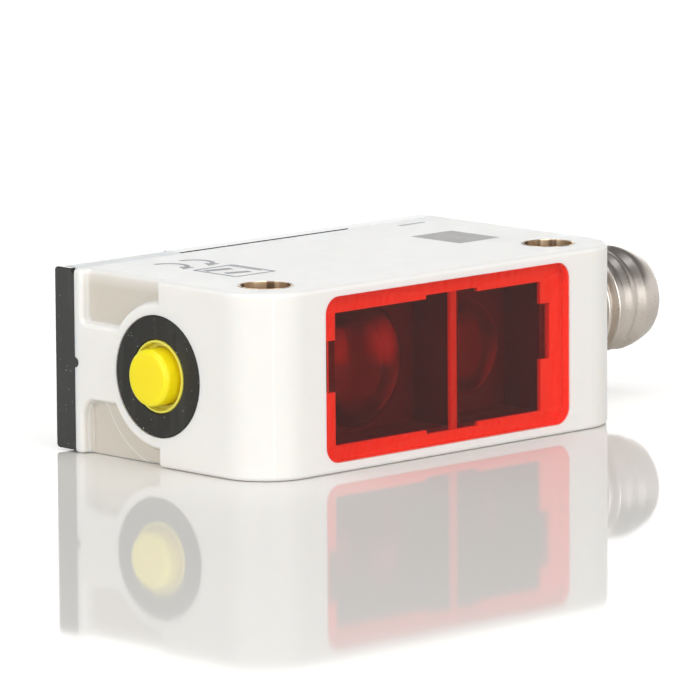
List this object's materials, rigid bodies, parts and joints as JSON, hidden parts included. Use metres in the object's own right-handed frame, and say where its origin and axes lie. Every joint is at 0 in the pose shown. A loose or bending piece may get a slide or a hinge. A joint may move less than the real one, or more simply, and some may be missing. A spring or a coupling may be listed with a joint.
{
  "type": "photoelectric sensor",
  "caption": "Flat box-shaped optical sensor with a red front window, a press-to-teach button, through holes for screws and a round screw connector.",
  "frame": {"origin": "midway between the two mounting holes, on the flat side that the sensor rests on", "axes": "+X from the button end to the connector end, -Y out of the window, +Z from the resting side to the opposite flat side"},
  "size_m": [0.0436, 0.0196, 0.012],
  "materials": {
    "white_housing": "matte",
    "red_window": "polished",
    "dark_cover": "matte",
    "milky_guide": "satin",
    "seal_rubber": "matte",
    "bush_brass": "polished",
    "black_bezel": "satin",
    "yellow_rubber": "satin",
    "yellow_button": "satin",
    "switch_plastic": "matte",
    "nickel_shell": "satin",
    "insert_plastic": "matte",
    "gold_contact": "polished",
    "tinned_lead": "satin",
    "carrier_plastic": "matte",
    "clear_lens": "polished",
    "diode_epoxy": "gloss",
    "shield_steel": "satin",
    "emitter_white": "gloss",
    "board_green": "satin",
    "chip_black": "matte",
    "ceramic_tan": "matte",
    "led_lens": "gloss"
  },
  "bodies": {
    "sensor": {"housing": "white_housing", "front_window": "red_window", "rear_cover": "dark_cover", "indicator_light_guide": "milky_guide", "cover_gasket": "seal_rubber", "mounting_bushes": "bush_brass", "button_bezel": "black_bezel", "button_membrane": "yellow_rubber", "teach_switch": "switch_plastic", "connector_shell": "nickel_shell", "connector_insert": "insert_plastic", "contact_pins": "gold_contact", "connector_seal": "seal_rubber", "lead_wires": "tinned_lead", "optics_carrier": "carrier_plastic", "receiver_lens": "clear_lens", "emitter_lens": "clear_lens", "receiver_diode": "diode_epoxy", "receiver_shield": "shield_steel", "emitter_led": "emitter_white", "circuit_board": "board_green", "signal_chip": "chip_black", "board_components": "ceramic_tan", "status_leds": "led_lens"},
    "button": {"teach_button": "yellow_button", "switch_plunger": "insert_plastic"}
  },
  "joints": [
    {"name": "button_press", "type": "slide", "parent": "sensor", "child": "button", "axis": [1, 0, 0], "range_m": [0, 0.0004], "stiffness_N_per_m": 800}
  ]
}
